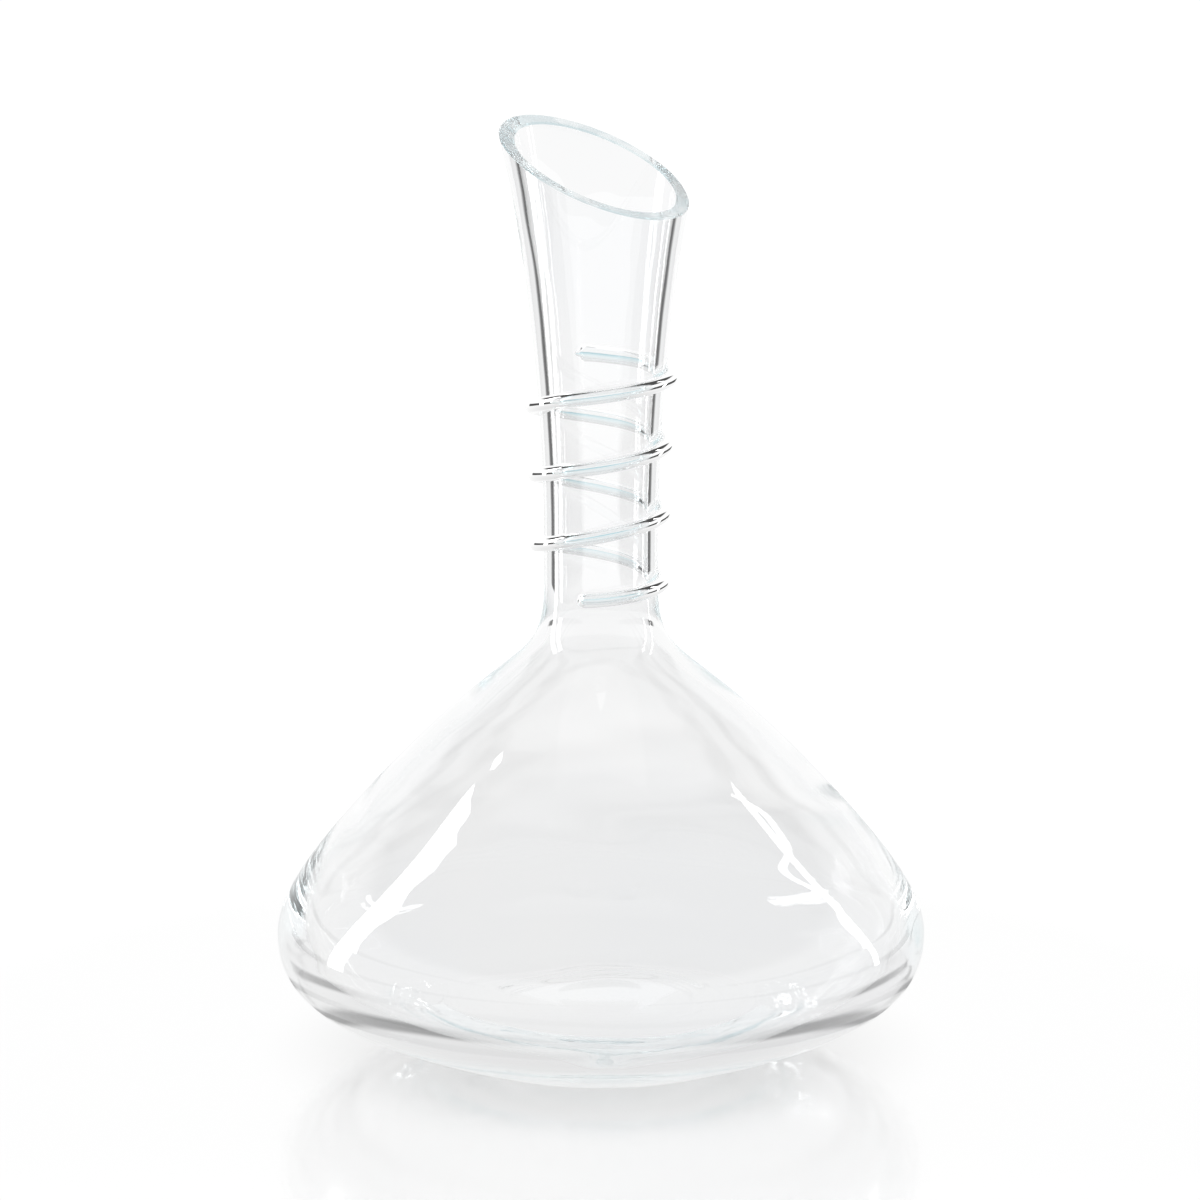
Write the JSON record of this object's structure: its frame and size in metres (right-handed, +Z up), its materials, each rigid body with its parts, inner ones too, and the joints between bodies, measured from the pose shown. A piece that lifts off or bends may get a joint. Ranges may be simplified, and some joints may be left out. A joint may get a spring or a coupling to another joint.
{
  "type": "wine decanter",
  "caption": "Clear glass wine decanter with a broad conical bowl, a flared neck with a slant-cut mouth, and an applied glass spiral thread.",
  "frame": {"origin": "on the axis of the bowl and neck, on the plane that the foot ring stands on", "axes": "+Z up along the neck; the mouth's low pouring side points halfway between +X and -Y, its high side halfway between -X and +Y; the spiral thread starts low on the -Y side"},
  "size_m": [0.2, 0.2, 0.2862],
  "materials": {
    "clear_glass": "fire-polished clear blown glass, ground and polished at the mouth",
    "thread_glass": "fire-polished clear glass, drawn by hand"
  },
  "bodies": {
    "root": {"glass_vessel": "clear_glass", "spiral_thread": "thread_glass"}
  },
  "joints": []
}
